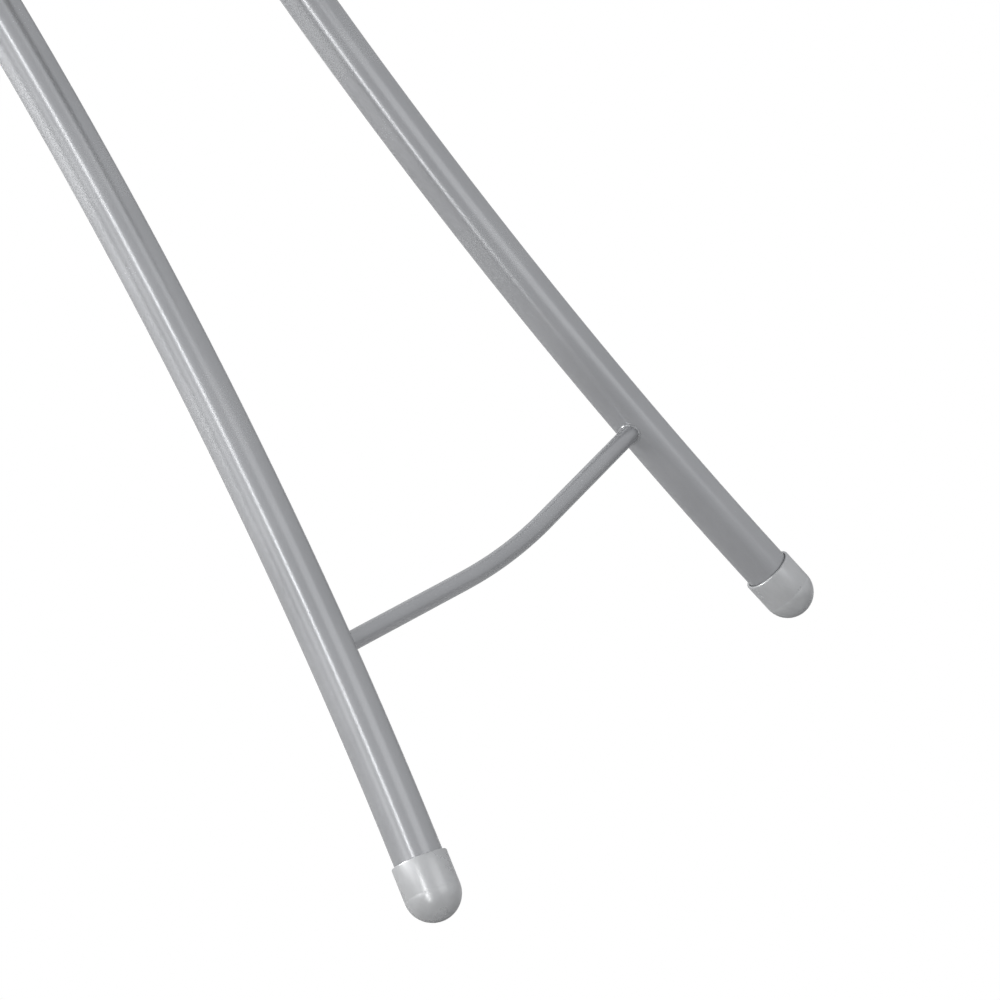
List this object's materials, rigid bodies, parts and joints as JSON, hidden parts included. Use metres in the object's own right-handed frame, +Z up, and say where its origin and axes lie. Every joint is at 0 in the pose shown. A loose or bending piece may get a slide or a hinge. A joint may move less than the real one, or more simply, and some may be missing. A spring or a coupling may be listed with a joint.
{
  "type": "ironing board",
  "caption": "Folding ironing board with bowed round-tube X-legs, domed feet caps, padded mesh deck, clamp height lock and sliding wire iron rest.",
  "frame": {"origin": "on the floor, in the middle of the length and width that the whole object takes up with its iron rest pulled out", "axes": "+X along the board towards the rounded nose, +Y to the left seen from the square tail, +Z up"},
  "size_m": [1.6, 0.45, 0.9703],
  "materials": {
    "leg_paint": "satin silver-grey powder coat on round steel tube",
    "cap_plastic": "moulded pale grey plastic, slightly glossy",
    "board_paint": "satin light grey powder coat",
    "felt": "soft white felt",
    "cotton": "plain woven cotton, matte",
    "rest_coating": "satin grey coated wire",
    "silicone": "matte silicone rubber",
    "zinc_steel": "bright zinc plating",
    "dark_plastic": "fine-textured moulded plastic"
  },
  "bodies": {
    "board": {"rim_tube": "board_paint", "mesh_deck": "board_paint", "felt_pad": "felt", "fitted_cover": "cotton", "cross_member_rear": "board_paint", "cross_member_middle": "board_paint", "slide_rail_left": "board_paint", "slide_rail_right": "board_paint", "hinge_bracket_left": "board_paint", "hinge_bracket_right": "board_paint", "hinge_bush_left": "dark_plastic", "hinge_bush_right": "dark_plastic", "clamp_rod": "zinc_steel", "rod_bracket_rear": "board_paint", "rod_bracket_front": "board_paint", "rest_guide_left": "dark_plastic", "rest_guide_right": "dark_plastic"},
    "outer_legs": {"outer_leg_left": "leg_paint", "outer_leg_right": "leg_paint", "outer_top_bar": "leg_paint", "outer_brace": "leg_paint", "outer_cap_left": "cap_plastic", "outer_cap_right": "cap_plastic", "bar_plug_left": "dark_plastic", "bar_plug_right": "dark_plastic", "pivot_bolt_left": "zinc_steel", "pivot_bolt_right": "zinc_steel", "pivot_spacer_left": "dark_plastic", "pivot_spacer_right": "dark_plastic", "pivot_nut_left": "zinc_steel", "pivot_nut_right": "zinc_steel"},
    "inner_legs": {"inner_leg_left": "leg_paint", "inner_leg_right": "leg_paint", "inner_top_bar": "leg_paint", "inner_brace": "leg_paint", "inner_cap_left": "cap_plastic", "inner_cap_right": "cap_plastic", "leg_plug_left": "dark_plastic", "leg_plug_right": "dark_plastic", "slide_sleeve_left": "dark_plastic", "slide_sleeve_right": "dark_plastic"},
    "carriage": {"slide_carriage": "dark_plastic", "lever_pin": "zinc_steel", "lever_spring": "zinc_steel"},
    "release_handle": {"lock_plate": "zinc_steel", "release_handle": "zinc_steel", "handle_grip": "dark_plastic"},
    "iron_rest": {"rest_frame": "rest_coating", "rest_wire_1": "rest_coating", "rest_wire_2": "rest_coating", "rest_wire_3": "rest_coating", "rest_wire_4": "rest_coating", "rest_wire_5": "rest_coating", "heat_sleeve_1": "silicone", "heat_sleeve_2": "silicone", "rest_stop_left": "zinc_steel", "rest_stop_right": "zinc_steel"}
  },
  "joints": [
    {"name": "outer_legs_fold", "type": "hinge", "parent": "board", "child": "outer_legs", "pos_m": [-0.45, 0, 0.92839], "axis": [0, -1, 0], "range_deg": [-3.5, 50.3]},
    {"name": "legs_cross", "type": "hinge", "parent": "outer_legs", "child": "inner_legs", "pos_m": [-0.09292, 0, 0.47135], "axis": [0, -1, 0], "range_deg": [-101, 7.4]},
    {"name": "carriage_level", "type": "hinge", "parent": "inner_legs", "child": "carriage", "pos_m": [0.26417, 0, 0.92839], "axis": [0, -1, 0], "range_deg": [-3.8, 50.8]},
    {"name": "handle_squeeze", "type": "hinge", "parent": "carriage", "child": "release_handle", "pos_m": [0.23217, 0, 0.92239], "axis": [0, 1, 0], "range_deg": [0, 6], "stiffness_Nm_per_rad": 4, "springref_deg": -5.73},
    {"name": "iron_rest_slide", "type": "slide", "parent": "board", "child": "iron_rest", "axis": [1, 0, 0], "range_m": [0, 0.1]}
  ],
  "couplings": [
    {"joint": "legs_cross", "follows": "outer_legs_fold", "ratio": -2},
    {"joint": "carriage_level", "follows": "outer_legs_fold", "ratio": 1}
  ]
}
